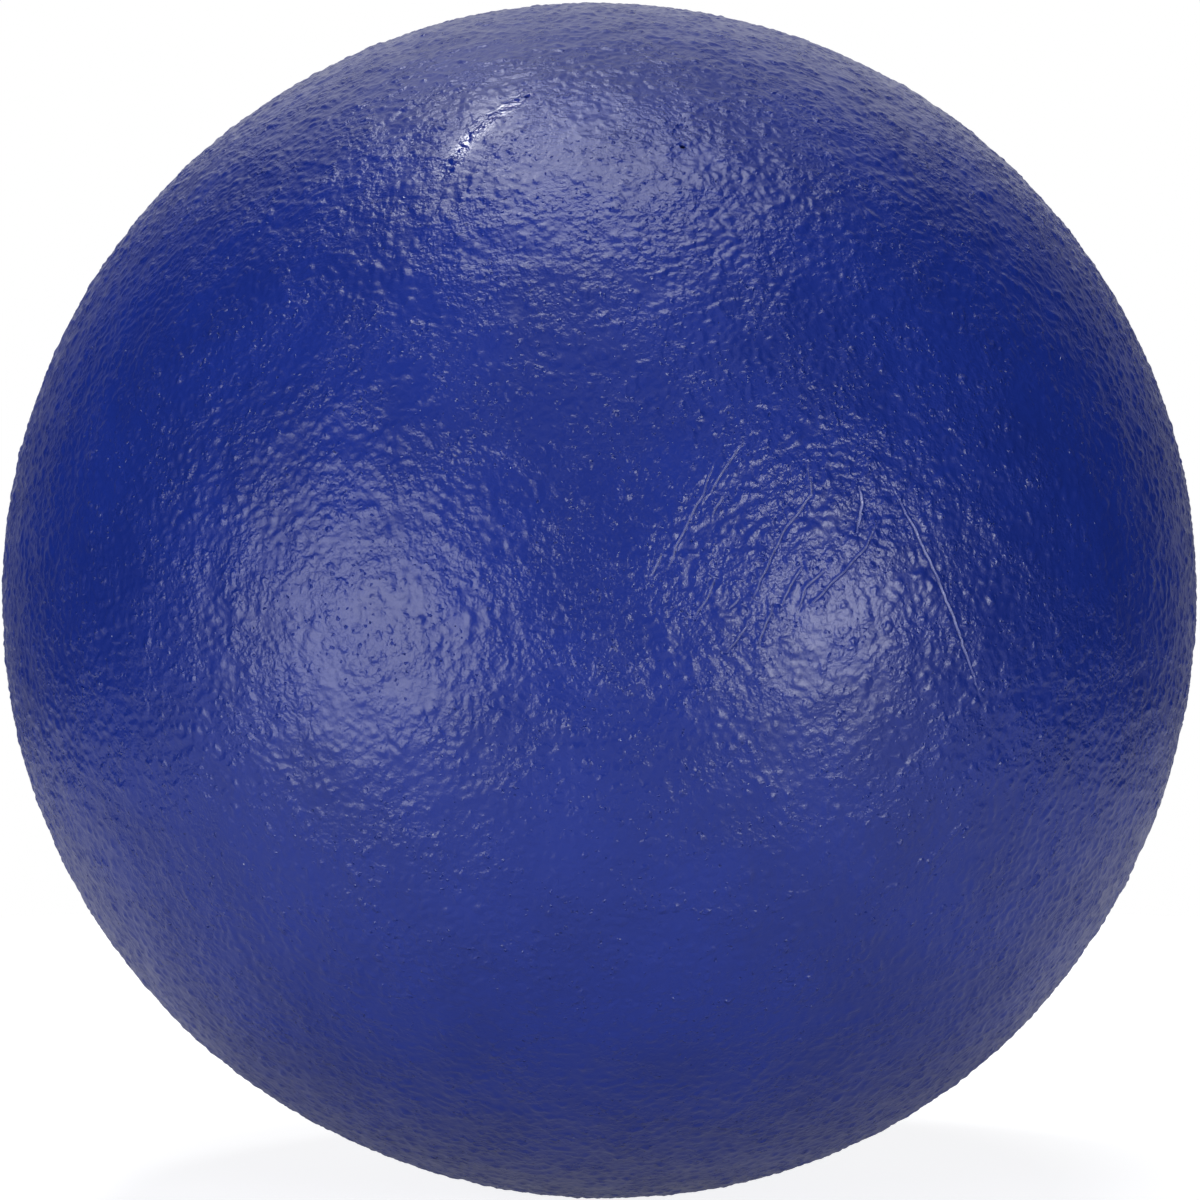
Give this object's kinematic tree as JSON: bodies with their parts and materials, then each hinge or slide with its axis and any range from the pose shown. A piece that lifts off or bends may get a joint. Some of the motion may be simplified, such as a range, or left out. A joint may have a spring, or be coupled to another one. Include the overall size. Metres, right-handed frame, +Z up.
{
  "type": "foam ball",
  "caption": "Soft play ball: a sphere of flexible foam under a sprayed seal coat and a blue, pebbled elastomer skin, for throwing, catching and kicking indoors.",
  "frame": {"origin": "centre of the ball", "axes": "+Z up through the ball, front of the pictured side towards -Y, +X to the right of that side"},
  "size_m": [0.16, 0.16, 0.16],
  "materials": {
    "foam": "open-cell flexible polyurethane foam, matte",
    "seal_coat": "thin elastomer first coat, dull, soaked into the foam cells",
    "skin": "sprayed polyurethane elastomer, satin, pebbled, royal blue"
  },
  "bodies": {
    "root": {"foam_core": "foam", "seal_coat": "seal_coat", "skin": "skin"}
  },
  "joints": []
}
